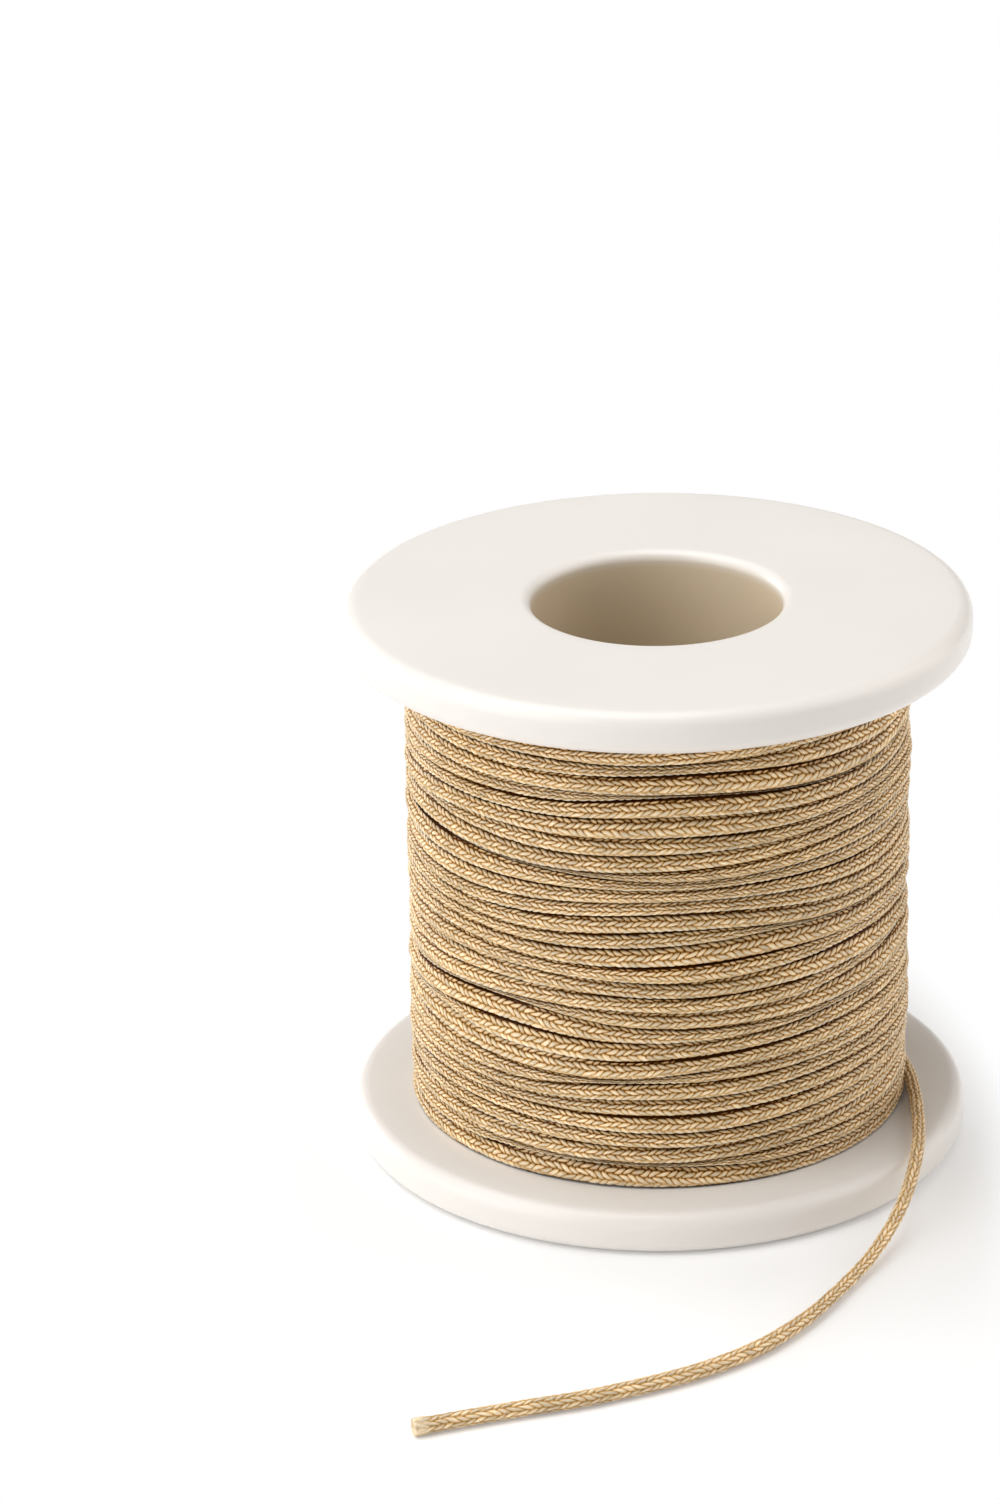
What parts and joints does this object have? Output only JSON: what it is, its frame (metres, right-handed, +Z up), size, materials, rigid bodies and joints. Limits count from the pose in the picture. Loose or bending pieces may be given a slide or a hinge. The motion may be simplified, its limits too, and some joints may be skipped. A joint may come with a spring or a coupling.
{
  "type": "cord spool",
  "caption": "Small flanged plastic spool with a through bore, wound with fine braided cord whose free end lies on the table.",
  "frame": {"origin": "centre of the lower flange's outer face, on the surface that the spool stands on", "axes": "+Z up along the spool's axis; the cord's free end leaves the winding at the +X side and runs round to the -Y side"},
  "size_m": [0.075, 0.1172, 0.0686],
  "materials": {
    "spool_plastic": "smooth moulded plastic, warm off-white, softly glossy",
    "cord_braid": "tight tubular braid of fine synthetic yarn, golden beige, slightly shiny"
  },
  "bodies": {
    "root": {"flange_bottom": "spool_plastic", "flange_top": "spool_plastic", "barrel_tube": "spool_plastic", "cord_inner_layers": "cord_braid", "cord_outer_turns": "cord_braid", "cord_tail": "cord_braid"}
  },
  "joints": []
}
